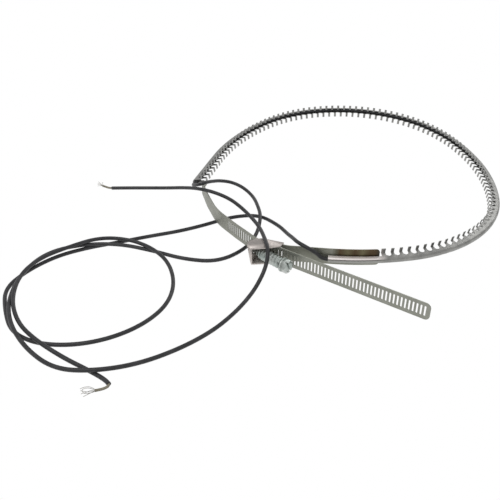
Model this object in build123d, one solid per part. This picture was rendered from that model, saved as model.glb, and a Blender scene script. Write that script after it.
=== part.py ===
# Crankcase heater belt: a toothed steel channel with a heating cable in its nose,
# drawn round a compressor shell by a slotted band and a worm clamp.
# Sizes in mm. The belt is drawn flat, then laid on the leads that run under it.
from build123d import *
import math
import os

# Toothed channel, folded from one strip. Depth is measured inwards from the outer web.
sheet = 0.5
nose_height = 4.2
nose_corner = 1.7
channel_depth = 7.6
brim_span = 10.9
lean = 12.0
web_height = 3.75
finger_pitch = 6.35
finger_width = 2.4
root_depth = 3.6
plain_length = 38.0
ring_start = (-29.2, -132.5)
ring_heading = -7.5
ring_arcs = [(180.0, 19.0), (108.9, 66.07), (200.4, 31.21), (132.8, 19.35), (104.4, 96.76), (190.0, 27.8)]
ring_straight = 50.0

# Heating cable and its splice sleeves, inside the nose.
cable_diameter = 2.6
cable_clearance = 0.15
sleeve_length = 14.0
sleeve_diameter = 2.8

# Slotted band and its welded partner.
band_width = 12.7
band_thickness = 0.65
band_bottom = -1.2
band_middle = band_bottom + band_width / 2
slot_pitch = 2.66
slot_width = 1.3
slot_height = 7.6
slot_margin = 3.6
slotted_length = 168.0
tip_radius = 3.5
tail_length = 135.4
band_lap = 8.0
tongue_top = 3.6
tongue_straight = 2.0
tongue_run = 25.0
band_bends = [((-123.0, -23.4), 20.0), ((-116.9, -48.0), 100.0), ((-108.3, -74.0), 60.0), ((-93.3, -95.3), 100.0)]
clamp_point = (-81.4, -113.1)
clamp_heading = -35.4
clamp_bend = 25.0
clamp_corner = 5.0
band_gap = 0.045
weld_length = 35.5
partner_turn = 14.7
partner_start = 2.25
partner_slots = 4
partner_bend = 15.0
end_radius = 2.5

# Worm housing, given along the band (s) and outwards from it (t).
housing_sheet = 0.8
housing_clearance = 0.15
back_start = (8.6, -1.55)
back_length = 7.0
cheek_length = 15.2
wall_upper = [(4.6, 2.2), (1.8, 8.1), (4.6, 12.8), (8.9, 14.5)]
wall_lower = [(6.6, 2.2), (5.4, 8.1), (6.6, 11.5), (8.3, 12.9)]
cheek_upper = [(23.7, -0.5), (20.2, 4.0)]
cheek_lower = [(22.9, -1.0), (21.0, 2.2)]
cheek_entry = 1.2

# Worm screw.
worm_radius = 4.2
worm_start = 8.2
worm_length = 22.0
worm_taper = 5.0
worm_tip = 2.6
worm_clearance = 0.3
worm_drop = 0.6
worm_splay = 7.5
pin_radius = 1.9
pin_length = 4.2
pin_clearance = 0.25
neck_radius = 2.6
neck_length = 1.2
washer_radius = 5.3
washer_thickness = 1.2
hex_flats = 8.6
hex_height = 4.4
driver_slot = 1.3
driver_depth = 1.8

# Leads, and how the belt lies on them.
lead_diameter = 2.8
braid_diameter = 1.7
braid_length_a = 6.5
braid_length_b = 4.0
braid_fold_b = -90.0
strand_diameter = 0.32
strand_length = 6.0
lift = 2.3
rise = 0.017
low_side = (0.8, -0.6)

# Routes of the leads over the table, from the nose to the bare end.
route_a = [
    (-128.5, -17.07, 8), (-130, -21.8, 8.1), (-128.4, -28.6, 11.4), (-125, -35, 15.4), (-121.4, -38.2, 17.9),
    (-117.4, -35.2, 17.8), (-113.5, -28.4, 14.8), (-107.6, -19.3, 10.4), (-97.9, -14.5, 6.2), (-88.2, -19.1, 3.4),
    (-80.1, -32.4, 2.2), (-76.7, -51.4, 4.6), (-74.6, -68.4, 5.8), (-77.4, -86.8, 2), (-86.2, -106.7, 1.4),
    (-105.7, -122.6, 1.4), (-130.2, -119, 1.4), (-153.2, -108.1, 1.4), (-179.2, -103, 4.6), (-207.5, -103, 4.2),
    (-230.1, -114.2, 4.4), (-240.9, -139.1, 4.6), (-242, -166.4, 4), (-233.9, -192.3, 5.1), (-218.1, -213.9, 2.8),
    (-197.2, -231.1, 2.6), (-172.9, -235.7, 5.3), (-148.8, -226.3, 1.6), (-125.1, -212.9, 1.4), (-106.1, -196.9, 1.4),
    (-92.9, -179.6, 1.4), (-84, -164, 1.4), (-77.8, -151.4, 2.8), (-72.1, -142.8, 11), (-70.3, -135.8, 20),
    (-72.7, -119.9, 19.8), (-76, -102.7, 17.6), (-81.4, -86.7, 15.6), (-89.1, -71.1, 15), (-98.5, -58.8, 16),
    (-111.6, -50.9, 17.8), (-125.2, -42.1, 16.2), (-137.6, -29.9, 10), (-150.5, -19.8, 4.2), (-166.6, -14.8, 1.6),
    (-183.5, -14.1, 1.4), (-199, -14.1, 1.4),
]
route_b = [
    (-28.9, -130.54, 8.53), (-33.2, -130, 8.7), (-36.2, -129.7, 12.6), (-44.1, -129.8, 18.2), (-50.1, -123.6, 18.4),
    (-52.5, -111.8, 14.2), (-55.6, -99.5, 9.6), (-61.4, -79.4, 4.4), (-75.9, -59.2, 1.4), (-97.2, -61.6, 1.4),
    (-116.9, -73, 1.4), (-137.1, -82.1, 1.4), (-159.1, -88.7, 1.4), (-180.6, -96.4, 1.4), (-203, -103.7, 1.4),
    (-223.1, -114.1, 1.4), (-239.7, -132.1, 1.4), (-249, -151.8, 1.4), (-242.6, -174.3, 1.4), (-232.5, -196.3, 1.4),
    (-213.9, -207.7, 1.4), (-190.6, -209.5, 1.4), (-168.4, -203.1, 1.4), (-149.5, -189.6, 1.4), (-136.9, -170.4, 1.4),
    (-134.2, -147.4, 1.8), (-140.5, -125.8, 4.4), (-154.3, -109.3, 5.3), (-173.3, -96.8, 4.6), (-194.4, -98.2, 6.9),
    (-213.7, -112.3, 8.2), (-231.5, -125.9, 7.8), (-239.9, -145.7, 7.6), (-238.9, -169.1, 5.6), (-229.7, -190, 4),
    (-214.6, -207.1, 4.8), (-194.9, -220.2, 1.8), (-177.2, -231, 1.4), (-164.8, -240.9, 1.4), (-162.9, -245.6, 1.4),
]


def lie(shape):
    """Tip the flat belt so that it rests on the leads at its clamp."""
    tilted = shape.rotate(Axis((0, 0, 0), (low_side[0], low_side[1], 0)), -math.degrees(math.atan(rise)))
    return tilted.translate((0, 0, lift))


def turned(x, y, degrees):
    a = math.radians(degrees)
    return (x * math.cos(a) - y * math.sin(a), x * math.sin(a) + y * math.cos(a))


def walk_ring():
    """Follow the outer web: list of (start, heading, radius, sweep, centre)."""
    runs = []
    x, y = ring_start
    heading = ring_heading
    for radius, sweep in ring_arcs:
        inward = turned(0, radius, heading)
        centre = (x + inward[0], y + inward[1])
        runs.append(((x, y), heading, radius, sweep, centre))
        heading += sweep
        outward = turned(0, -radius, heading)
        x, y = centre[0] + outward[0], centre[1] + outward[1]
    return runs, (x, y), heading


ring_runs, straight_start, straight_heading = walk_ring()
ring_length = sum(r * math.radians(a) for r, a in ring_arcs) + ring_straight


def station(distance):
    """Point on the outer web and its heading, at a distance from end B."""
    for start, heading, radius, sweep, centre in ring_runs:
        run = radius * math.radians(sweep)
        if distance <= run:
            h = heading + math.degrees(distance / radius)
            outward = turned(0, -radius, h)
            return (centre[0] + outward[0], centre[1] + outward[1]), h
        distance -= run
    step = turned(distance, 0, straight_heading)
    return (straight_start[0] + step[0], straight_start[1] + step[1]), straight_heading


def section_plane(distance):
    """Plane of the leaning section: x inwards, y up along the brims."""
    point, heading = station(distance)
    inward = turned(0, 1, heading)
    c = math.cos(math.radians(lean))
    s = math.sin(math.radians(lean))
    x_dir = (inward[0] * c, inward[1] * c, s)
    along = turned(1, 0, heading)
    return Plane(origin=(point[0], point[1], web_height), x_dir=x_dir, z_dir=(-along[0], -along[1], 0))


def along_ring(profile, start, end):
    """Carry a section along the web from one distance to another."""
    pieces = []
    at = 0.0
    for origin, heading, radius, sweep, centre in ring_runs:
        run = radius * math.radians(sweep)
        a = max(start, at)
        b = min(end, at + run)
        if b - a > 1e-6:
            face = section_plane(a) * profile
            axis = Axis((centre[0], centre[1], 0), (0, 0, 1))
            pieces.append(revolve(face, axis, math.degrees((b - a) / radius)))
        at += run
    if end - at > 1e-6:
        a = max(start, at)
        direction = turned(end - a, 0, straight_heading)
        pieces.append(extrude(section_plane(a + 1e-7) * profile, dir=Vector(direction[0], direction[1], 0), amount=end - a))
    body = pieces[0]
    for piece in pieces[1:]:
        body = body + piece
    return body


def nose_profile(depth):
    """Rounded nose with its two flanges, open at the given depth."""
    half = nose_height / 2
    outer = Rectangle(depth, nose_height, align=(Align.MIN, Align.CENTER))
    outer = fillet(outer.vertices().group_by(Axis.X)[0], nose_corner)
    inner = Pos(sheet, 0) * Rectangle(depth, nose_height - 2 * sheet, align=(Align.MIN, Align.CENTER))
    inner = fillet(inner.vertices().group_by(Axis.X)[0], nose_corner - sheet)
    return outer - inner


def brim_profile():
    """The whole hat: nose, flanges and the upright brims at their ends."""
    hat = nose_profile(channel_depth)
    brim = (brim_span - nose_height) / 2 + sheet
    for side in (1, -1):
        centre = side * (nose_height / 2 - sheet + brim / 2)
        hat = hat + Pos(channel_depth - sheet / 2, centre) * Rectangle(sheet, brim)
    return hat


def notch(distance, side):
    """Cutter for one gap between two fingers, with its round root."""
    gap = finger_pitch - finger_width
    reach = channel_depth - root_depth + 2 * sheet
    low = nose_height / 2 - 2 * sheet
    height = brim_span / 2 - low + 2 * sheet
    plane = section_plane(distance)
    flat = Plane(origin=plane.from_local_coords((root_depth, side * low, 0)), x_dir=plane.x_dir, z_dir=plane.y_dir * side)
    root = Pos(gap / 2, 0) * Circle(gap / 2)
    body = Pos(gap / 2, 0) * Rectangle(reach, gap, align=(Align.MIN, Align.CENTER))
    return extrude(flat * (root + body), height)


def make_channel():
    channel = along_ring(nose_profile(root_depth), 0.0, plain_length)
    channel = channel + along_ring(brim_profile(), plain_length, ring_length)
    cutters = []
    count = int((ring_length - plain_length) / finger_pitch)
    for k in range(count + 1):
        cutters.append(notch(plain_length + (k + 0.5) * finger_pitch - finger_width / 2, 1))
        cutters.append(notch(plain_length + (k + 1.0) * finger_pitch - finger_width / 2, -1))
    return channel - cutters


def make_round(diameter, start, end):
    """Round cable in the nose, between two distances along the web."""
    depth = sheet + cable_diameter / 2 + cable_clearance
    return along_ring(Pos(depth, 0) * Circle(diameter / 2), start, end)


def band_path(points, radii):
    return FilletPolyline(*[(x, y, band_middle) for x, y, *rest in points], radius=radii)


def band_solid(path):
    """Flat band standing on edge, carried along a path at mid height."""
    plane = Plane(origin=path @ 0, x_dir=Vector(0, 0, 1), z_dir=path % 0)
    return sweep(plane * Rectangle(band_width, band_thickness), path=path)


def clamp_at(s, t=0.0, z=0.0):
    """Point in the clamp's own directions: s along the band, t outwards."""
    along = turned(s, -t, clamp_heading)
    return Vector(clamp_point[0] + along[0], clamp_point[1] + along[1], z)


def rounded_end(strap, point, radius):
    """Round the two corners at a band's free end."""
    corners = strap.edges().filter_by(lambda e: abs(e.length - band_thickness) < 1e-4)
    return fillet(corners.sort_by_distance(point)[:2], radius)


def slot_cutters(path, start, count, backwards):
    """Row of slots along a band, counted from one of its ends."""
    cutters = []
    for k in range(count):
        u = (start + k * slot_pitch) / path.length
        if backwards:
            u = 1 - u
        here = Plane(origin=path @ u, x_dir=path % u, z_dir=(0, 0, 1))
        cutters.append(here * Box(slot_width, 3 * band_thickness, slot_height))
    return cutters


def tongue_cut(start, towards):
    """Cutter that leaves a low tongue at the strap's welded end."""
    run = (towards - start).normalized()
    plane = Plane(origin=start, x_dir=run, z_dir=(run.Y, -run.X, 0))
    top = band_bottom + band_width
    above = top + band_thickness
    full = tongue_straight + tongue_run
    corners = [(-tongue_straight, tongue_top), (tongue_straight, tongue_top), (full, top), (full, above)]
    outline = Polyline(*corners, (-tongue_straight, above), close=True)
    return extrude(plane * make_face(outline), amount=2 * channel_depth, both=True)


def make_clamp_strap():
    end, heading = station(ring_length)
    brim_lean = brim_span / 2 * math.sin(math.radians(lean))
    inset = channel_depth * math.cos(math.radians(lean)) + brim_lean + band_thickness / 2
    side = turned(-band_lap, inset, heading)
    points = [(end[0] + side[0], end[1] + side[1])]
    points += [p for p, r in band_bends] + [tuple(clamp_at(clamp_corner)), tuple(clamp_at(tail_length))]
    path = band_path(points, [r for p, r in band_bends] + [clamp_bend])
    strap = rounded_end(band_solid(path), path @ 1, tip_radius)
    count = int((slotted_length - slot_margin) / slot_pitch) + 1
    tongue = tongue_cut(Vector(*points[0], 0), Vector(*points[2], 0))
    return strap - slot_cutters(path, slot_margin, count, True) - tongue


def housing_at(a, b, z=0.0):
    """Point beside the housing strap: a along it, b outwards from the housing's back."""
    c = math.cos(math.radians(partner_turn))
    k = math.sin(math.radians(partner_turn))
    return clamp_at(back_start[0] + a * c + b * k, back_start[1] - a * k + b * c, z)


def make_housing_strap():
    start, heading = station(0)
    stub_lean = nose_height / 2 * math.sin(math.radians(lean))
    inset = root_depth * math.cos(math.radians(lean)) + stub_lean + band_thickness / 2
    radius = ring_arcs[0][0] - inset
    centre = ring_runs[0][4]
    first = turned(0, inset, heading)
    join = Vector(start[0] + first[0], start[1] + first[1], band_middle)
    forward = turned(1, 0, heading)
    origin = housing_at(partner_start, housing_sheet + band_gap + band_thickness / 2, band_middle)
    line = turned(1, 0, clamp_heading + partner_turn)
    gap = join - origin
    reach = (gap.X * forward[1] - gap.Y * forward[0]) / (line[0] * forward[1] - line[1] * forward[0])
    corner = origin + Vector(line[0], line[1], 0) * reach
    lead_in = band_path([origin, corner, join], partner_bend)
    lap = CenterArc((centre[0], centre[1], band_middle), radius, heading - 90, math.degrees(weld_length / radius))
    path = Wire(lead_in.edges() + lap.edges())
    strap = rounded_end(band_solid(path), path @ 1, end_radius)
    return strap - slot_cutters(path, slot_margin, partner_slots, False)


def thickened(corners, amount):
    """Outline of a sheet whose outer face follows the corners, mitred at each bend."""
    normals = []
    for (s0, t0), (s1, t1) in zip(corners, corners[1:]):
        run = math.hypot(s1 - s0, t1 - t0)
        normals.append(((t1 - t0) / run, (s0 - s1) / run))
    inner = []
    for k, (s, t) in enumerate(corners):
        one = normals[max(k - 1, 0)]
        two = normals[min(k, len(normals) - 1)]
        share = amount / (1 + one[0] * two[0] + one[1] * two[1])
        inner.append((s + (one[0] + two[0]) * share, t + (one[1] + two[1]) * share))
    return corners + inner[::-1]


def make_housing():
    """One folded sheet: a back, a slanting left wall and two cheeks, open in front."""
    low = band_bottom - housing_clearance - housing_sheet
    high = band_bottom + band_width + housing_clearance

    def outline(corners, z):
        return make_face(Polyline(*[clamp_at(s, t, z) for s, t in corners], close=True))

    def cheek(wall, front, bottom):
        entry = clamp_at(wall[0][0], cheek_entry, bottom)
        rim = [housing_at(0, 0, bottom), entry] + [clamp_at(s, t, bottom) for s, t in wall[1:] + front[::-1]]
        rim.append(housing_at(cheek_length, 0, bottom))
        return extrude(make_face(Polyline(*rim, close=True)), housing_sheet, dir=(0, 0, 1))

    upper = outline(thickened(wall_upper, housing_sheet), high + housing_sheet)
    lower = outline(thickened(wall_lower, housing_sheet), low)
    wall = loft([lower, upper], ruled=True)
    corners = [(0, 0), (back_length, 0), (back_length, housing_sheet), (0, housing_sheet)]
    back = make_face(Polyline(*[housing_at(a, b, low) for a, b in corners], close=True))
    back = extrude(back, high + housing_sheet - low, dir=(0, 0, 1))
    body = cheek(wall_upper, cheek_upper, high) + cheek(wall_lower, cheek_lower, low) + wall + back
    hole = worm_plane() * Pos(0, 0, -pin_length) * Cylinder(pin_radius + pin_clearance, pin_length * 2)
    return body - hole


def worm_plane():
    """Frame of the screw: origin at the worm's left face, z along its axis."""
    out = band_thickness / 2 + worm_clearance + worm_radius
    origin = clamp_at(worm_start, out, band_middle - worm_drop)
    axis = turned(1, 0, clamp_heading - worm_splay)
    return Plane(origin=origin, x_dir=(0, 0, 1), z_dir=(axis[0], axis[1], 0))


def make_worm():
    """Screw with its thread left as a plain cylinder."""
    reach = worm_length

    def disc(radius, start, length):
        return Pos(0, 0, start) * Cylinder(radius, length, align=(Align.CENTER, Align.CENTER, Align.MIN))

    point = Cone(worm_tip, worm_radius, worm_taper, align=(Align.CENTER, Align.CENTER, Align.MIN))
    body = point + disc(worm_radius, worm_taper, reach - worm_taper) + disc(pin_radius, -pin_length, pin_length)
    body = body + disc(neck_radius, reach, neck_length)
    body = body + disc(washer_radius, reach + neck_length, washer_thickness)
    face = reach + neck_length + washer_thickness
    body = body + Pos(0, 0, face) * extrude(RegularPolygon(hex_flats / 2, 6, major_radius=False), hex_height)
    slot = Box(3 * washer_radius, driver_slot, driver_depth, align=(Align.CENTER, Align.CENTER, Align.MAX))
    body = body - Pos(0, 0, face + hex_height) * Rot(0, 0, 25) * slot
    return worm_plane() * body


def corner_cut(before, corner, after):
    """Trim at a corner of a route: 0.45 of the shorter of its two runs."""
    return 0.45 * min((corner - before).length, (after - corner).length)


def smooth_route(points):
    """Straight runs joined by the largest tangent arcs they allow."""
    points = [Vector(*p) for p in points]
    edges = []
    radii = []
    at = points[0]
    for before, corner, after in zip(points, points[1:], points[2:]):
        cut = corner_cut(before, corner, after)
        come = (corner - before).normalized()
        go = (after - corner).normalized()
        half = math.radians(come.get_angle(go)) / 2
        radius = cut / math.tan(half)
        first = corner - come * cut
        last = corner + go * cut
        middle = corner + (go - come).normalized() * (radius / math.cos(half) - radius)
        edges.append(Line(at, first))
        edges.append(ThreePointArc(first, middle, last))
        radii.append(round(radius, 1))
        at = last
    edges.append(Line(at, points[-1]))
    return Wire([e.edge() for e in edges]), radii


def make_lead(points, name):
    path, radii = smooth_route(points)
    tube = sweep(Plane(origin=path @ 0, z_dir=path % 0) * Circle(lead_diameter / 2), path=path)
    expected = math.pi * lead_diameter ** 2 / 4 * path.length
    print(name, "length", round(path.length, 1), "volume ratio", round(tube.volume / expected, 4))
    print(name, "arc radii", radii)
    return tube


def end_frame(points, fold):
    """Frame at the bare end of a lead, z along its core, which may be folded aside."""
    before = Vector(*points[-2])
    last = Vector(*points[-1])
    out = (last - before).normalized()
    clear = braid_diameter / 2 * math.sin(math.radians(abs(fold)))
    core = out.rotate(Axis.Z, fold)
    return Plane(origin=last + out * clear, x_dir=Vector(0, 0, 1).cross(core), z_dir=core)


def make_braid(points, length, fold=0.0):
    start = -lead_diameter / 4 * math.sin(math.radians(abs(fold)))
    braid = Cylinder(braid_diameter / 2, length - start, align=(Align.CENTER, Align.CENTER, Align.MIN))
    return end_frame(points, fold) * Pos(0, 0, start) * braid


def make_strands(points, start, fold=0.0):
    """Bare strands, fanned out from a short twist."""
    twist = Cylinder(braid_diameter * 0.4, 1.2, align=(Align.CENTER, Align.CENTER, Align.MIN))
    fan = Pos(0, 0, start) * twist
    for angle, offset, share in ((0, 0.0, 1.0), (17, 0.3, 0.85), (-15, -0.3, 0.9), (30, 0.45, 0.6)):
        wire = Cylinder(strand_diameter / 2, strand_length * share, align=(Align.CENTER, Align.CENTER, Align.MIN))
        fan = fan + Pos(offset, 0, start + 0.6) * Rot(0, angle, 0) * wire
    return end_frame(points, fold) * fan


cable_end = ring_length - sleeve_length
parts = {
    "toothed_channel": lie(make_channel()),
    "heating_cable": lie(make_round(cable_diameter, sleeve_length, cable_end)),
    "splice_sleeve_a": lie(make_round(sleeve_diameter, cable_end, ring_length)),
    "splice_sleeve_b": lie(make_round(sleeve_diameter, 0.0, sleeve_length)),
    "lead_a": make_lead(route_a, "lead_a"),
    "lead_b": make_lead(route_b, "lead_b"),
    "lead_a_braid": make_braid(route_a, braid_length_a),
    "lead_b_braid": make_braid(route_b, braid_length_b, braid_fold_b),
    "lead_a_strands": make_strands(route_a, braid_length_a),
    "lead_b_strands": make_strands(route_b, braid_length_b, braid_fold_b),
    "clamp_strap": lie(make_clamp_strap()),
    "housing_strap": lie(make_housing_strap()),
    "worm_housing": lie(make_housing()),
    "worm_screw": lie(make_worm()),
}

os.makedirs("parts", exist_ok=True)
for name, shape in parts.items():
    solids = shape.solids()
    export_step(Compound(solids) if len(solids) > 1 else solids[0], "parts/" + name + ".step")
    box = shape.bounding_box()
    print(name, len(solids), round(shape.volume, 1), "z", round(box.min.Z, 2), round(box.max.Z, 2))

nose = section_plane(ring_length).from_local_coords((sheet + cable_diameter / 2 + cable_clearance, 0, 0))
other = section_plane(0).from_local_coords((sheet + cable_diameter / 2 + cable_clearance, 0, 0))
print("nose ends", lie(Vertex(*nose)).center(), lie(Vertex(*other)).center())
frame = worm_plane()
print("screw", lie(Vertex(*frame.origin)).center(), lie(Vertex(*(frame.origin + frame.z_dir * 30))).center())
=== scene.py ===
# Crankcase heater belt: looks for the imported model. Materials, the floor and
# the lights are in metres.
import bpy
import bmesh
import math
from mathutils import Matrix, Vector


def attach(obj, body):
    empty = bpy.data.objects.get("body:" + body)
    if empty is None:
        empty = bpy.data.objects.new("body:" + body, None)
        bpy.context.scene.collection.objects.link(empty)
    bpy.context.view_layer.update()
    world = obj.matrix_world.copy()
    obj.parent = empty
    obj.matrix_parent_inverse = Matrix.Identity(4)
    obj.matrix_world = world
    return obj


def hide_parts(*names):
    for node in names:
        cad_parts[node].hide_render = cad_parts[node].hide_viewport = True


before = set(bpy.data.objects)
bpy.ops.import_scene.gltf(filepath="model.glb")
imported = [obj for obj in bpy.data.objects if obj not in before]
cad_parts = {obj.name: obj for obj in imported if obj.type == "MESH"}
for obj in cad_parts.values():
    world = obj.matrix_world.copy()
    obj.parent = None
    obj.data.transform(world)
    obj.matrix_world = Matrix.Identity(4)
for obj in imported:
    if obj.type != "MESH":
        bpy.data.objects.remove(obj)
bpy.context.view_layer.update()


def mm(*values):
    """Millimetres to a point in metres."""
    return Vector([v / 1000.0 for v in values])


# How the flat belt lies on its leads: the same tilt and lift as the CAD.
lift = 2.3
rise = 0.017
lie = Matrix.Translation(mm(0, 0, lift)) @ Matrix.Rotation(-math.atan(rise), 4, Vector((0.8, -0.6, 0.0)))

# Routes of the leads, as in the CAD, but for lead B's last two points, which follow the photo.
route_a = [
    (-128.5, -17.07, 8), (-130, -21.8, 8.1), (-128.4, -28.6, 11.4), (-125, -35, 15.4),
    (-121.4, -38.2, 17.9), (-117.4, -35.2, 17.8), (-113.5, -28.4, 14.8), (-107.6, -19.3, 10.4),
    (-97.9, -14.5, 6.2), (-88.2, -19.1, 3.4), (-80.1, -32.4, 2.2), (-76.7, -51.4, 4.6),
    (-74.6, -68.4, 5.8), (-77.4, -86.8, 2), (-86.2, -106.7, 1.4), (-105.7, -122.6, 1.4),
    (-130.2, -119, 1.4), (-153.2, -108.1, 1.4), (-179.2, -103, 4.6), (-207.5, -103, 4.2),
    (-230.1, -114.2, 4.4), (-240.9, -139.1, 4.6), (-242, -166.4, 4), (-233.9, -192.3, 5.1),
    (-218.1, -213.9, 2.8), (-197.2, -231.1, 2.6), (-172.9, -235.7, 5.3), (-148.8, -226.3, 1.6),
    (-125.1, -212.9, 1.4), (-106.1, -196.9, 1.4), (-92.9, -179.6, 1.4), (-84, -164, 1.4),
    (-77.8, -151.4, 2.8), (-72.1, -142.8, 11), (-70.3, -135.8, 20), (-72.7, -119.9, 19.8),
    (-76, -102.7, 17.6), (-81.4, -86.7, 15.6), (-89.1, -71.1, 15), (-98.5, -58.8, 16),
    (-111.6, -50.9, 17.8), (-125.2, -42.1, 16.2), (-137.6, -29.9, 10), (-150.5, -19.8, 4.2),
    (-166.6, -14.8, 1.6), (-183.5, -14.1, 1.4), (-199, -14.1, 1.4),
]
route_b = [
    (-28.9, -130.54, 8.53), (-33.2, -130, 8.7), (-36.2, -129.7, 12.6), (-44.1, -129.8, 18.2),
    (-50.1, -123.6, 18.4), (-52.5, -111.8, 14.2), (-55.6, -99.5, 9.6), (-61.4, -79.4, 4.4),
    (-75.9, -59.2, 1.4), (-97.2, -61.6, 1.4), (-116.9, -73, 1.4), (-137.1, -82.1, 1.4),
    (-159.1, -88.7, 1.4), (-180.6, -96.4, 1.4), (-203, -103.7, 1.4), (-223.1, -114.1, 1.4),
    (-239.7, -132.1, 1.4), (-249, -151.8, 1.4), (-242.6, -174.3, 1.4), (-232.5, -196.3, 1.4),
    (-213.9, -207.7, 1.4), (-190.6, -209.5, 1.4), (-168.4, -203.1, 1.4), (-149.5, -189.6, 1.4),
    (-136.9, -170.4, 1.4), (-134.2, -147.4, 1.8), (-140.5, -125.8, 4.4), (-154.3, -109.3, 5.3),
    (-173.3, -96.8, 4.6), (-194.4, -98.2, 6.9), (-213.7, -112.3, 8.2), (-231.5, -125.9, 7.8),
    (-239.9, -145.7, 7.6), (-238.9, -169.1, 5.6), (-229.7, -190, 4), (-214.6, -207.1, 4.8),
    (-194.9, -220.2, 1.8), (-177.2, -231, 1.4), (-165.4, -239.2, 1.4), (-163.4, -242.4, 1.4),
]


# Materials

# Colour sockets of the Mix node, which share their names with its sockets for numbers
mix_first = 6
mix_second = 7
mix_result = 2


def new_material(name):
    material = bpy.data.materials.new(name)
    material.use_nodes = True
    nodes = material.node_tree.nodes
    links = material.node_tree.links
    return material, nodes, links, nodes["Principled BSDF"]


def placed(nodes, links, source, scale=(1, 1, 1), place=(0, 0, 0)):
    """The piece's own coordinates, stretched and shifted for a pattern."""
    coords = nodes.new("ShaderNodeTexCoord")
    mapping = nodes.new("ShaderNodeMapping")
    mapping.inputs["Scale"].default_value = scale
    mapping.inputs["Location"].default_value = place
    links.new(coords.outputs[source], mapping.inputs["Vector"])
    return mapping.outputs["Vector"]


def axes(nodes, links, source):
    """The piece's own coordinates, one by one."""
    split = nodes.new("ShaderNodeSeparateXYZ")
    links.new(placed(nodes, links, source), split.inputs["Vector"])
    return split.outputs


def add_noise(nodes, links, scale, detail, stretch=(1, 1, 1)):
    noise = nodes.new("ShaderNodeTexNoise")
    noise.inputs["Scale"].default_value = scale
    noise.inputs["Detail"].default_value = detail
    links.new(placed(nodes, links, "Object", stretch), noise.inputs["Vector"])
    return noise.outputs["Fac"]


def add_ramp(nodes, links, source, stops):
    ramp = nodes.new("ShaderNodeValToRGB")
    elements = ramp.color_ramp.elements
    while len(elements) < len(stops):
        elements.new(0.5)
    for element, (place, colour) in zip(elements, stops):
        element.position = place
        element.color = (*colour, 1.0)
    links.new(source, ramp.inputs["Fac"])
    return ramp.outputs["Color"]


def remap(nodes, links, source, before=(0.0, 1.0), after=(0.0, 1.0)):
    """Bring one range of a value to another, and hold it between the ends."""
    span = nodes.new("ShaderNodeMapRange")
    span.inputs["From Min"].default_value = before[0]
    span.inputs["From Max"].default_value = before[1]
    span.inputs["To Min"].default_value = after[0]
    span.inputs["To Max"].default_value = after[1]
    links.new(source, span.inputs["Value"])
    return span.outputs["Result"]


def larger(nodes, links, first, second):
    choice = nodes.new("ShaderNodeMath")
    choice.operation = "MAXIMUM"
    links.new(first, choice.inputs[0])
    links.new(second, choice.inputs[1])
    return choice.outputs["Value"]


def mix_into(nodes, links, bsdf, first, second, blend="MIX"):
    """Mix two colours into the shader's own, and return the socket for the second's share."""
    mix = nodes.new("ShaderNodeMix")
    mix.data_type = "RGBA"
    mix.blend_type = blend
    links.new(first, mix.inputs[mix_first])
    links.new(second, mix.inputs[mix_second])
    links.new(mix.outputs[mix_result], bsdf.inputs["Base Color"])
    return mix.inputs["Factor"]


def add_bump(nodes, links, source, bsdf, strength, distance):
    bump = nodes.new("ShaderNodeBump")
    bump.inputs["Strength"].default_value = strength
    bump.inputs["Distance"].default_value = distance
    links.new(source, bump.inputs["Height"])
    links.new(bump.outputs["Normal"], bsdf.inputs["Normal"])


def metal(name, dark, light, roughness, grain, bump=0.3, stretch=(1, 1, 1)):
    """Rolled or plated sheet: cloudy tone, fine grain and uneven gloss."""
    material, nodes, links, bsdf = new_material(name)
    bsdf.inputs["Metallic"].default_value = 0.8
    tone = add_ramp(nodes, links, add_noise(nodes, links, 120.0, 5.0), [(0.35, dark), (0.68, light)])
    links.new(tone, bsdf.inputs["Base Color"])
    fine = add_noise(nodes, links, grain, 3.0, stretch)
    links.new(remap(nodes, links, fine, after=roughness), bsdf.inputs["Roughness"])
    add_bump(nodes, links, fine, bsdf, bump, 0.00005)
    return material, nodes, links, bsdf, tone


def rubber(name, dark, light, roughness, spread=0.08):
    """Extruded silicone: faint dust, soft sheen and a fine matt skin."""
    material, nodes, links, bsdf = new_material(name)
    tone = add_ramp(nodes, links, add_noise(nodes, links, 160.0, 5.0), [(0.4, dark), (0.75, light)])
    links.new(tone, bsdf.inputs["Base Color"])
    bsdf.inputs["Specular IOR Level"].default_value = 0.4
    fine = add_noise(nodes, links, 2600.0, 2.0)
    gloss = remap(nodes, links, fine, after=(roughness - spread, roughness + spread))
    links.new(gloss, bsdf.inputs["Roughness"])
    add_bump(nodes, links, fine, bsdf, 0.25, 0.00003)
    return material


along_band = (1, 1, 5)
channel_steel = metal("channel_steel", (0.25, 0.25, 0.24), (0.36, 0.36, 0.345), (0.32, 0.48), 900.0)
band_steel = metal("band_steel", (0.26, 0.265, 0.23), (0.32, 0.325, 0.285), (0.40, 0.58), 1500.0,
                   0.35, along_band)
weld_steel = metal("weld_steel", (0.235, 0.24, 0.20), (0.30, 0.305, 0.26), (0.42, 0.58), 1500.0,
                   0.35, along_band)
housing_zinc = metal("housing_zinc", (0.47, 0.435, 0.41), (0.58, 0.53, 0.50), (0.34, 0.52), 1100.0)
screw_zinc = metal("screw_zinc", (0.38, 0.43, 0.405), (0.56, 0.58, 0.555), (0.26, 0.44), 1100.0)
strand_metal = metal("strand_metal", (0.16, 0.15, 0.13), (0.36, 0.34, 0.29), (0.3, 0.5), 3000.0)
lead_jacket = rubber("lead_jacket", (0.020, 0.020, 0.022), (0.040, 0.040, 0.043), 0.45)
silicone = rubber("silicone", (0.03, 0.03, 0.032), (0.05, 0.05, 0.055), 0.5)
glass_braid = rubber("glass_braid", (0.17, 0.155, 0.115), (0.36, 0.33, 0.26), 0.8)


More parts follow.
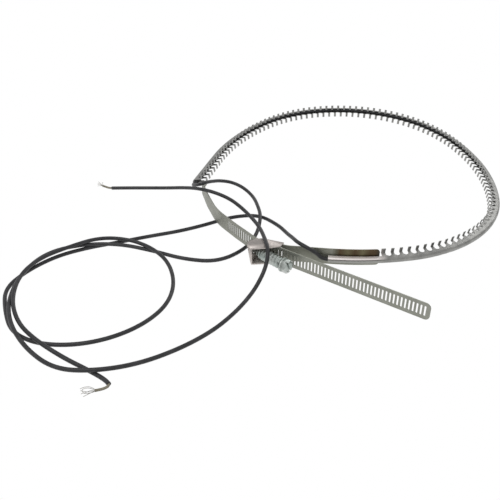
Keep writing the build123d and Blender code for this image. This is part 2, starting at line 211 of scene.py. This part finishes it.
# Painted reflection on the nose near end B: its place in metres, and its tones from the web up over a painted
# dark reflection line at the fold to a painted highlight on the top of the nose
nose_centre = (-0.013, -0.134, 0.0085)
nose_nearness = 36.0
nose_heights = (0.0065, 0.0110)
nose_web = (0.33, 0.33, 0.31)
nose_fold_reflection = (0.10, 0.095, 0.09)
nose_top_highlight = (0.86, 0.80, 0.78)
nose_reflection_tones = [(0.0, nose_web), (0.54, nose_web), (0.58, nose_fold_reflection), (0.64, nose_fold_reflection), (0.70, nose_top_highlight),
              (1.0, nose_top_highlight)]


def painted_nose_reflection(base):
    """Near the weld at end B, paint a reflection on the nose: a painted highlight on its top, with a painted
    dark reflection line at the fold under it.
    """
    nodes, links, bsdf, tone = base[1:]
    ball = nodes.new("ShaderNodeTexGradient")
    ball.gradient_type = "SPHERICAL"
    shift = tuple(-nose_nearness * c for c in nose_centre)
    links.new(placed(nodes, links, "Object", (nose_nearness,) * 3, shift), ball.inputs["Vector"])
    height = remap(nodes, links, axes(nodes, links, "Object")["Z"], nose_heights)
    share = mix_into(nodes, links, bsdf, tone, add_ramp(nodes, links, height, nose_reflection_tones))
    links.new(remap(nodes, links, ball.outputs["Fac"], (0.08, 0.35)), share)


# Painted highlight and painted dark reflection line on the channel's nose
painted_nose_reflection(channel_steel)


# Brown and olive bands over the welded strap, laid by distance along it. Its UV runs along and across the
# flat strap, one unit to 100 mm.
uv_unit = 100.0
tint_span = 0.33
tint_foot = (0.015, 0.04)
bare = (1.0, 1.0, 1.0)
brown = (0.38, 0.25, 0.16)
olive = (0.64, 0.56, 0.38)
tint_stops = [(0.0, bare), (0.08, (0.55, 0.52, 0.45)), (0.16, brown), (0.32, olive), (0.48, brown),
              (0.64, olive), (0.80, brown), (0.90, brown), (1.0, (0.22, 0.20, 0.19))]


def tinted(base, start):
    """Lay brown and olive bands over a metal by distance along the strap, but not on its lower edge."""
    material, nodes, links, bsdf, tone = base
    strap = axes(nodes, links, "UV")
    along = remap(nodes, links, strap["X"], (start, start + tint_span))
    share = mix_into(nodes, links, bsdf, tone, add_ramp(nodes, links, along, tint_stops), "MULTIPLY")
    links.new(remap(nodes, links, strap["Y"], tint_foot), share)
    return material


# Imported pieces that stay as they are
for node, material in {"toothed_channel": channel_steel[0], "heating_cable": silicone,
                       "splice_sleeve_a": silicone, "splice_sleeve_b": silicone}.items():
    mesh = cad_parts[node].data
    mesh.materials.clear()
    mesh.materials.append(material)


# Modelling helpers. Pieces are modelled in mm and brought to metres when they are finished.

def link(piece):
    bpy.context.scene.collection.objects.link(piece)
    return piece


def select_only(piece):
    bpy.ops.object.select_all(action="DESELECT")
    piece.select_set(True)
    bpy.context.view_layer.objects.active = piece


def named_primitive(name):
    piece = bpy.context.active_object
    piece.name = name
    piece.data.name = name
    return piece


def apply_modifiers(piece):
    select_only(piece)
    for modifier in list(piece.modifiers):
        bpy.ops.object.modifier_apply(modifier=modifier.name)


def clean(piece, reach=0.001):
    """Merge doubles and turn all faces outwards."""
    select_only(piece)
    bpy.ops.object.mode_set(mode="EDIT")
    bpy.ops.mesh.select_all(action="SELECT")
    bpy.ops.mesh.remove_doubles(threshold=reach)
    bpy.ops.mesh.normals_make_consistent(inside=False)
    bpy.ops.object.mode_set(mode="OBJECT")


def trim(piece, point, direction, fill=False):
    """Cut away what lies beyond a plane."""
    select_only(piece)
    bpy.ops.object.mode_set(mode="EDIT")
    bpy.ops.mesh.select_all(action="SELECT")
    bpy.ops.mesh.bisect(plane_co=point, plane_no=direction, use_fill=fill, clear_outer=True, threshold=0.0001)
    bpy.ops.object.mode_set(mode="OBJECT")


def join(first, *others):
    select_only(first)
    for other in others:
        other.select_set(True)
    bpy.ops.object.join()
    return first


def dress(piece, body, node, material, smooth):
    """Give a piece its material and smoothing, parent it to its body, and hide the imported part it replaces.
    """
    piece.data.materials.clear()
    piece.data.materials.append(material)
    select_only(piece)
    bpy.ops.object.shade_smooth_by_angle(angle=math.radians(smooth))
    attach(piece, body)
    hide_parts(node)


def finish(piece, body, node, material, place=Matrix.Identity(4), smooth=40.0):
    """Bring a piece from mm to its place in metres, and dress it."""
    piece.data.transform(place @ Matrix.Scale(0.001, 4))
    dress(piece, body, node, material, smooth)


# Clamp: its own directions, as in the CAD

clamp_point = (-81.4, -113.1)
clamp_heading = math.radians(-35.4)


def clamp_at(s, t, z):
    """Point in mm: s along the clamp strap, t outwards from it."""
    return Vector((clamp_point[0] + s * math.cos(clamp_heading) + t * math.sin(clamp_heading),
                   clamp_point[1] + s * math.sin(clamp_heading) - t * math.cos(clamp_heading), z))


def frame_at(origin, heading):
    """Frame in metres with z along a level heading and x up."""
    z = Vector((math.cos(heading), math.sin(heading), 0))
    x = Vector((0, 0, 1))
    y = z.cross(x)
    turn = Matrix((x, y, z)).transposed().to_4x4()
    return lie @ Matrix.Translation(origin / 1000) @ turn


# Worm screw

worm_start = clamp_at(8.2, 4.825, 4.55)
worm_heading = clamp_heading - math.radians(7.5)
worm_crest = 4.2
worm_root = 3.55
worm_pitch = 2.66
worm_length = 22.0
worm_taper = 5.0
worm_tip = 2.6
crest_ease = 0.15
hex_across = 8.6
hex_foot = 24.4
hex_height = 4.4
face_sink = 0.25
driver_width = 1.3
driver_depth = 1.8
driver_length = 12.0
driver_angle = 25.0
neck_profile = [(0, -4.2), (1.6, -4.2), (1.9, -3.9), (1.9, 0.01), (0, 0.01)]
collar_profile = [(0, 21.99), (2.6, 21.99), (2.6, 23.2), (4.9, 23.2), (5.22, 23.35), (5.3, 23.7),
                  (5.22, 24.1), (4.7, 24.41), (0, 24.41)]


def turned_piece(name, profile, turns=1, climb=0.0, steps=40):
    """Turn a chain of (radius, height) points about z, climbing at each turn."""
    bpy.ops.mesh.primitive_circle_add(vertices=len(profile), radius=1)
    piece = named_primitive(name)
    for vertex, (radius, height) in zip(piece.data.vertices, profile):
        vertex.co = (radius, 0, height)
    chain = bmesh.new()
    chain.from_mesh(piece.data)
    chain.verts.ensure_lookup_table()
    closing = chain.edges.get((chain.verts[0], chain.verts[len(profile) - 1]))
    chain.edges.remove(closing)
    chain.to_mesh(piece.data)
    chain.free()
    turn = piece.modifiers.new("turn", "SCREW")
    turn.screw_offset = climb
    turn.iterations = turns
    turn.steps = steps
    turn.render_steps = steps
    turn.use_merge_vertices = True
    turn.merge_threshold = 0.0005
    apply_modifiers(piece)
    clean(piece)
    return piece


def threaded_worm():
    """Rolled thread whose ridges match the strap's slots, cut to length and tapered at its point."""
    eased = worm_crest - crest_ease
    ridge = [(worm_root, 0), (worm_root, 0.28), (eased, 0.78), (worm_crest, 1.0), (worm_crest, 1.62),
             (eased, 1.84), (worm_root, 2.34), (worm_root, worm_pitch)]
    turns = math.ceil(worm_length / worm_pitch) + 3
    worm = turned_piece("worm_thread", ridge, turns, worm_pitch, 36)
    worm.data.transform(Matrix.Translation((0, 0, -1.5 * worm_pitch)))
    trim(worm, (0, 0, worm_length), (0, 0, 1), fill=True)
    trim(worm, (0, 0, 0), (0, 0, -1), fill=True)
    for vertex in worm.data.vertices:
        if vertex.co.z < worm_taper:
            share = worm_tip / worm_crest + (1 - worm_tip / worm_crest) * vertex.co.z / worm_taper
            vertex.co.x *= share
            vertex.co.y *= share
    return worm


def hex_head():
    """Hex with its corners turned off, sunk face and driver slot."""
    corner = hex_across / 2 / math.cos(math.radians(30))
    bpy.ops.mesh.primitive_cylinder_add(vertices=6, radius=corner, depth=hex_height,
                                        location=(0, 0, hex_foot + hex_height / 2))
    head = named_primitive("hex_head")
    bpy.ops.object.transform_apply(location=True, rotation=True, scale=True)
    top = hex_foot + hex_height
    blank = turned_piece("hex_blank", [(0, hex_foot), (corner, hex_foot), (corner, top - 0.9),
                                       (hex_across / 2 + 0.1, top - 0.25), (hex_across / 2 - 0.35, top),
                                       (3.1, top), (2.8, top - face_sink), (0, top - face_sink)])
    bpy.ops.mesh.primitive_cube_add(size=1, location=(0, 0, top - driver_depth / 2))
    slot = named_primitive("driver_slot")
    slot.scale = (driver_length, driver_width, driver_depth)
    slot.rotation_euler.z = math.radians(driver_angle)
    for cutter, kind in ((blank, "INTERSECT"), (slot, "DIFFERENCE")):
        cut = head.modifiers.new(kind, "BOOLEAN")
        cut.operation = kind
        cut.object = cutter
    edge = head.modifiers.new("edge", "BEVEL")
    edge.width = 0.12
    edge.segments = 2
    edge.limit_method = "ANGLE"
    edge.angle_limit = math.radians(35)
    apply_modifiers(head)
    for cutter in (blank, slot):
        bpy.data.objects.remove(cutter)
    return head


def make_screw():
    neck = turned_piece("screw_neck", neck_profile)
    collar = turned_piece("screw_collar", collar_profile)
    return join(threaded_worm(), neck, collar, hex_head())


finish(make_screw(), "screw", "worm_screw", screw_zinc[0], frame_at(worm_start, worm_heading),
       30.0)


# Worm housing: the folded sheet, with the folds and rims rounded

fold_radius = 0.32


def make_housing():
    """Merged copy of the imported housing, in mm, with its edges rounded."""
    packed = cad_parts["worm_housing"]
    housing = packed.copy()
    housing.data = packed.data.copy()
    housing.name = "folded_housing"
    link(housing)
    for modifier in list(housing.modifiers):
        housing.modifiers.remove(modifier)
    housing.data.transform(Matrix.Scale(1000, 4))
    select_only(housing)
    bpy.ops.object.mode_set(mode="EDIT")
    bpy.ops.mesh.select_all(action="SELECT")
    bpy.ops.mesh.remove_doubles(threshold=0.002)
    bpy.ops.mesh.dissolve_limited(angle_limit=math.radians(1.0))
    bpy.ops.object.mode_set(mode="OBJECT")
    fold = housing.modifiers.new("fold", "BEVEL")
    fold.width = fold_radius
    fold.segments = 3
    fold.limit_method = "ANGLE"
    fold.angle_limit = math.radians(25)
    apply_modifiers(housing)
    return housing


finish(make_housing(), "belt", "worm_housing", housing_zinc[0])


# Slotted straps

band_width = 12.7
band_bottom = -1.2
band_thickness = 0.65
slot_pitch = 2.66
slot_width = 1.3
slot_height = 7.6
slot_corner = 0.4
slot_margin = 3.6
burr_width = 0.08
run_step = 2.5
arc_step = 2.0
band_middle = band_bottom + band_width / 2


def slotted_cell():
    """One pitch of the strap: a stamped slot with rounded corners in a flat piece, standing in xz."""
    bpy.ops.mesh.primitive_circle_add(vertices=16, radius=slot_corner, rotation=(math.pi / 2, 0, 0))
    cell = named_primitive("slotted_cell")
    bpy.ops.object.transform_apply(location=True, rotation=True, scale=True)
    for vertex in cell.data.vertices:
        vertex.co.x += math.copysign(slot_width / 2 - slot_corner, vertex.co.x + 0.001)
        vertex.co.z += math.copysign(slot_height / 2 - slot_corner, vertex.co.z + 0.001)
    bpy.ops.mesh.primitive_circle_add(vertices=4, radius=1, rotation=(math.pi / 2, 0, 0))
    rim = named_primitive("cell_rim")
    bpy.ops.object.transform_apply(location=True, rotation=True, scale=True)
    for vertex, (x, z) in zip(rim.data.vertices, ((1, 1), (-1, 1), (-1, -1), (1, -1))):
        vertex.co = (x * slot_pitch / 2, 0, z * band_width / 2)
    join(cell, rim)
    select_only(cell)
    bpy.ops.object.mode_set(mode="EDIT")
    bpy.ops.mesh.select_all(action="SELECT")
    bpy.ops.mesh.bridge_edge_loops()
    bpy.ops.object.mode_set(mode="OBJECT")
    return cell


def plain_run(start, end, divisions):
    """Plain part of the strap between two distances."""
    bpy.ops.mesh.primitive_grid_add(x_subdivisions=divisions, y_subdivisions=1, size=1,
                                    rotation=(math.pi / 2, 0, 0))
    run = named_primitive("plain_run")
    run.scale = (end - start, band_width, 1)
    run.location = ((start + end) / 2, 0, 0)
    bpy.ops.object.transform_apply(location=True, rotation=True, scale=True)
    return run


def flat_strap(name, length, first_slot, count):
    """Flat strap along x, with its row of slots and plain runs before and after."""
    cell = slotted_cell()
    cell.name = name
    row = cell.modifiers.new("row", "ARRAY")
    row.use_relative_offset = False
    row.use_constant_offset = True
    row.constant_offset_displace = (slot_pitch, 0, 0)
    row.count = count
    row.use_merge_vertices = True
    row.merge_threshold = 0.001
    apply_modifiers(cell)
    cell.data.transform(Matrix.Translation((first_slot, 0, 0)))
    row_start = first_slot - slot_pitch / 2
    row_end = first_slot + (count - 0.5) * slot_pitch
    runs = []
    for start, end in ((0, row_start), (row_end, length)):
        runs.append(plain_run(start, end, max(1, round((end - start) / run_step))))
    strap = join(cell, *runs)
    strap.data.transform(Matrix.Translation((0, 0, band_middle)))
    clean(strap)
    return strap


def round_end(strap, length, radius):
    """Round the two corners at the strap's free end with short cuts."""
    for side in (1, -1):
        centre = Vector((length - radius, 0, band_middle + side * (band_width / 2 - radius)))
        for angle in (15, 30, 45, 60, 75):
            out = Vector((math.cos(math.radians(angle)), 0, side * math.sin(math.radians(angle))))
            trim(strap, centre + out * radius, out)


def rounded_plan(points, radii):
    """Plan of a strap: straight runs joined by tangent arcs."""
    plan = [Vector(points[0])]
    for before, corner, after, radius in zip(points, points[1:], points[2:], radii):
        before, corner, after = Vector(before), Vector(corner), Vector(after)
        come = (corner - before).normalized()
        go = (after - corner).normalized()
        turn = math.atan2(come.x * go.y - come.y * go.x, come.dot(go))
        cut = radius * math.tan(abs(turn) / 2)
        side = math.copysign(1, turn)
        centre = corner - come * cut + Vector((-come.y, come.x)) * radius * side
        spoke = corner - come * cut - centre
        steps = max(4, round(abs(turn) * radius / arc_step))
        for k in range(steps + 1):
            spoke_now = spoke.copy()
            spoke_now.rotate(Matrix.Rotation(turn * k / steps, 2))
            plan.append(centre + spoke_now)
    plan.append(Vector(points[-1]))
    return plan


def plan_length(plan):
    return sum((b - a).length for a, b in zip(plan, plan[1:]))


def bend_to(strap, plan):
    """Give the flat strap its UV, thickness and eased edges, and bend it to its plan."""
    curve = bpy.data.curves.new("strap_plan", "CURVE")
    curve.dimensions = "2D"
    spline = curve.splines.new("POLY")
    spline.points.add(len(plan) - 1)
    for control, point in zip(spline.points, plan):
        control.co = (point.x, point.y, 0, 1)
    guide = link(bpy.data.objects.new("strap_plan", curve))
    layers = strap.data.uv_layers
    layer = layers[0] if layers else layers.new(name="along")
    for loop in strap.data.loops:
        at = strap.data.vertices[loop.vertex_index].co
        layer.data[loop.index].uv = (at.x / uv_unit, at.z / uv_unit)
    wall = strap.modifiers.new("wall", "SOLIDIFY")
    wall.thickness = band_thickness
    wall.offset = 0.0
    burr = strap.modifiers.new("burr", "BEVEL")
    burr.width = burr_width
    burr.segments = 1
    burr.limit_method = "ANGLE"
    burr.angle_limit = math.radians(60)
    bend = strap.modifiers.new("bend", "CURVE")
    bend.object = guide
    bend.deform_axis = "POS_X"
    apply_modifiers(strap)
    bpy.data.objects.remove(guide)


clamp_corners = [(-119.535, -11.574), (-123.0, -23.4), (-116.9, -48.0), (-108.3, -74.0), (-93.3, -95.3),
                 (-77.324, -115.996), (28.968, -191.535)]
clamp_bends = [20, 100, 60, 100, 25]
clamp_slots = 62
near_end_point = (2, 0, 3.6)
near_end_slope = Vector((-7.9, 0, 25.0)).normalized()
tail_round = 3.5
weld_corners = [(-71.801, -118.708), (-56.11, -124.637), (-28.641, -128.254)]
weld_bends = [15]
weld_slots = 4
lap_centre = Vector((-5.705, 45.96))
lap_radius = 175.717
lap_start = math.radians(-97.5)
lap_length = 35.5
lap_steps = 17
lap_round = 2.5


def make_clamp_strap():
    """Long strap from end A through the housing: a sloping near end, and slots up to its round tail."""
    plan = rounded_plan(clamp_corners, clamp_bends)
    length = plan_length(plan)
    first_slot = length - slot_margin - (clamp_slots - 1) * slot_pitch
    strap = flat_strap("slotted_strap", length, first_slot, clamp_slots)
    trim(strap, near_end_point, near_end_slope)
    round_end(strap, length, tail_round)
    bend_to(strap, plan)
    return strap


def make_housing_strap():
    """Short strap from the housing, lapped round the ring at end B."""
    plan = rounded_plan(weld_corners, weld_bends)
    for k in range(1, lap_steps + 1):
        angle = lap_start + lap_length / lap_radius * k / lap_steps
        plan.append(lap_centre + lap_radius * Vector((math.cos(angle), math.sin(angle))))
    length = plan_length(plan)
    strap = flat_strap("welded_strap", length, slot_margin, weld_slots)
    round_end(strap, length, lap_round)
    bend_to(strap, plan)
    return strap, length


finish(make_clamp_strap(), "belt", "clamp_strap", band_steel[0], lie)
welded, welded_length = make_housing_strap()
welded_strap_bands = tinted(weld_steel, welded_length / uv_unit - tint_span)
finish(welded, "belt", "housing_strap", welded_strap_bands, lie)


# Leads

lead_diameter = 2.8
braid_radius = 0.8
braid_resolution = 10
yarn_count = 4
yarn_step = 0.9
yarn_height = 0.00006
strand_diameter = 0.28
end_smoothing = 60.0


def lead_curve(name, points, diameter):
    """One smooth NURBS cord over the route's control points, all in mm."""
    curve = bpy.data.curves.new(name, "CURVE")
    curve.dimensions = "3D"
    curve.bevel_depth = diameter / 2000.0
    curve.bevel_resolution = 5
    curve.resolution_u = 8
    spline = curve.splines.new("NURBS")
    spline.points.add(len(points) - 1)
    for control, point in zip(spline.points, points):
        control.co = (*mm(*point), 1.0)
    spline.order_u = 3
    spline.use_endpoint_u = True
    curve.use_fill_caps = True
    return link(bpy.data.objects.new(name, curve))


def wire_bundle(name, wires, diameter):
    """Bare strands: each a thin bent wire, joined to one piece."""
    made = []
    for wire in wires:
        curve = lead_curve("strand", wire, diameter)
        curve.data.bevel_resolution = 2
        mesh = bpy.data.meshes.new_from_object(curve)
        bpy.data.objects.remove(curve)
        made.append(link(bpy.data.objects.new("strand", mesh)))
    bundle = join(made[0], *made[1:])
    bundle.name = name
    return bundle


def woven_sleeve(name, route, radius):
    """Glass braid along a short route: crossing yarns raised from a tube."""
    curve = lead_curve(name, route, 2 * radius)
    curve.data.bevel_resolution = braid_resolution
    curve.data.resolution_u = 20
    mesh = bpy.data.meshes.new_from_object(curve)
    bpy.data.objects.remove(curve)
    sleeve = link(bpy.data.objects.new(name, mesh))
    spokes = 4 + 2 * braid_resolution
    normals = [v.normal.copy() for v in mesh.vertices]
    for index, vertex in enumerate(mesh.vertices):
        ring, spoke = divmod(index, spokes)
        round_tube = 2 * math.pi * spoke / spokes * yarn_count
        down_tube = ring * yarn_step
        crossing = math.sin(round_tube + down_tube) * math.sin(round_tube - down_tube)
        vertex.co += normals[index] * yarn_height * crossing
    return sleeve


braid_a = [(-198.6, -14.1, 1.4), (-201.0, -14.1, 1.5), (-204.0, -13.7, 2.4), (-206.6, -13.2, 3.2)]
strands_a = [
    [(-205.9, -13.3, 3.0), (-207.5, -12.9, 3.6), (-209.4, -12.0, 4.6), (-211.0, -11.6, 5.0)],
    [(-205.9, -13.2, 3.1), (-207.6, -12.6, 3.9), (-209.0, -11.4, 4.8), (-210.2, -10.9, 5.9)],
    [(-205.9, -13.4, 2.9), (-207.9, -13.2, 3.2), (-209.8, -13.3, 3.4), (-210.6, -13.8, 3.2)],
    [(-205.9, -13.0, 3.2), (-206.8, -12.2, 4.4), (-207.4, -11.6, 4.9), (-206.2, -11.2, 5.2)],
    [(-205.9, -13.3, 3.2), (-208.2, -12.9, 3.4), (-209.6, -12.5, 4.2), (-210.9, -12.8, 3.9)],
]
braid_b = [(-163.6, -241.9, 1.4), (-163.2, -243.6, 1.3), (-165.4, -245.3, 1.1), (-168.6, -246.4, 1.0),
           (-170.6, -246.9, 1.0)]
strands_b = [
    [(-170.0, -246.8, 1.0), (-172.4, -245.6, 1.2), (-175.6, -245.2, 1.6), (-178.4, -246.3, 1.2),
     (-176.8, -248.7, 0.6), (-173.4, -248.9, 0.6), (-170.4, -247.3, 0.8)],
    [(-170.0, -246.7, 1.2), (-172.6, -244.9, 1.9), (-176.4, -244.7, 2.0), (-179.2, -245.8, 1.4)],
    [(-170.0, -246.9, 0.9), (-172.5, -248.2, 0.6), (-175.1, -249.8, 0.4), (-176.6, -250.9, 0.4)],
    [(-170.0, -246.9, 1.1), (-172.2, -247.0, 1.6), (-175.0, -248.3, 1.2), (-178.2, -248.9, 0.5)],
    [(-170.0, -246.8, 0.8), (-173.0, -247.6, 0.5), (-175.8, -247.5, 0.7), (-178.9, -246.5, 0.6)],
]

for name, route, length, braid_route, wires in (("lead_a", route_a, 0.83, braid_a, strands_a),
                                                ("lead_b", route_b, 0.765, braid_b, strands_b)):
    lead = lead_curve(name + "_wire", route, lead_diameter)
    lead.data.materials.append(lead_jacket)
    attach(lead, "belt")
    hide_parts(name)
    braid = woven_sleeve(name + "_glass", braid_route, braid_radius)
    dress(braid, "belt", name + "_braid", glass_braid, end_smoothing)
    bundle = wire_bundle(name + "_bare_wires", wires, strand_diameter)
    dress(bundle, "belt", name + "_strands", strand_metal[0], end_smoothing)


# Floor, light and camera

def floor_material():
    """White to the camera and in gloss, plain light grey to everything else."""
    material, nodes, links, bsdf = new_material("floor_white")
    bsdf.inputs["Base Color"].default_value = (0.8, 0.8, 0.8, 1)
    bsdf.inputs["Roughness"].default_value = 0.9
    path = nodes.new("ShaderNodeLightPath")
    seen = larger(nodes, links, path.outputs["Is Camera Ray"], path.outputs["Is Glossy Ray"])
    glow = nodes.new("ShaderNodeEmission")
    glow.inputs["Color"].default_value = (1, 1, 1, 1)
    glow.inputs["Strength"].default_value = 1.0
    mix = nodes.new("ShaderNodeMixShader")
    links.new(seen, mix.inputs["Fac"])
    links.new(bsdf.outputs["BSDF"], mix.inputs[1])
    links.new(glow.outputs["Emission"], mix.inputs[2])
    links.new(mix.outputs["Shader"], nodes["Material Output"].inputs["Surface"])
    return material


floor_reach = 3.0
floor_level = -0.0002
floor_signs = ((-1, -1), (1, -1), (1, 1), (-1, 1))
floor_corners = [(floor_reach * x, floor_reach * y, floor_level) for x, y in floor_signs]
floor_mesh = bpy.data.meshes.new("floor")
floor_mesh.from_pydata(floor_corners, [], [(0, 1, 2, 3)])
floor = link(bpy.data.objects.new("floor", floor_mesh))
floor_mesh.materials.append(floor_material())


def studio_world(low, high):
    """Soft room light, a little brighter overhead than at the walls, and white to the camera."""
    world = bpy.data.worlds.new("studio")
    world.use_nodes = True
    nodes = world.node_tree.nodes
    links = world.node_tree.links
    glow = remap(nodes, links, axes(nodes, links, "Generated")["Z"], (0.0, 0.9), (low, high))
    path = nodes.new("ShaderNodeLightPath")
    background = nodes["Background"]
    background.inputs["Color"].default_value = (1, 1, 1, 1)
    links.new(larger(nodes, links, glow, path.outputs["Is Camera Ray"]), background.inputs["Strength"])
    bpy.context.scene.world = world


def area_light(name, place, size, power):
    """Rectangular light aimed at the middle of the ring."""
    light = bpy.data.lights.new(name, "AREA")
    light.shape = "RECTANGLE"
    light.size = size[0]
    light.size_y = size[1]
    light.energy = power
    lamp = link(bpy.data.objects.new(name, light))
    lamp.location = place
    lamp.rotation_euler = (-Vector(place)).to_track_quat("-Z", "Y").to_euler()


studio_world(0.6, 0.72)
area_light("key_light", (-0.5, -0.5, 0.9), (0.7, 0.5), 3.0)
area_light("back_light", (0.4, 0.8, 0.6), (0.8, 0.3), 2.0)

# Camera, as solved from the photo against the level belt
picture = 500
focal_length = 700.0
camera_place = mm(-83.04, -532.33, 277.94)
camera_dip = 33.5286

camera_data = bpy.data.cameras.new("camera")
camera_data.sensor_width = 36.0
camera_data.lens = camera_data.sensor_width * focal_length / picture
camera_data.clip_start = 0.01
camera = link(bpy.data.objects.new("camera", camera_data))
level = Matrix.Translation(camera_place) @ Matrix.Rotation(math.radians(90 - camera_dip), 4, "X")
camera.matrix_world = lie @ level
scene = bpy.context.scene
scene.camera = camera
scene.render.resolution_x = picture
scene.render.resolution_y = picture
scene.view_settings.view_transform = "Standard"

bpy.context.view_layer.update()
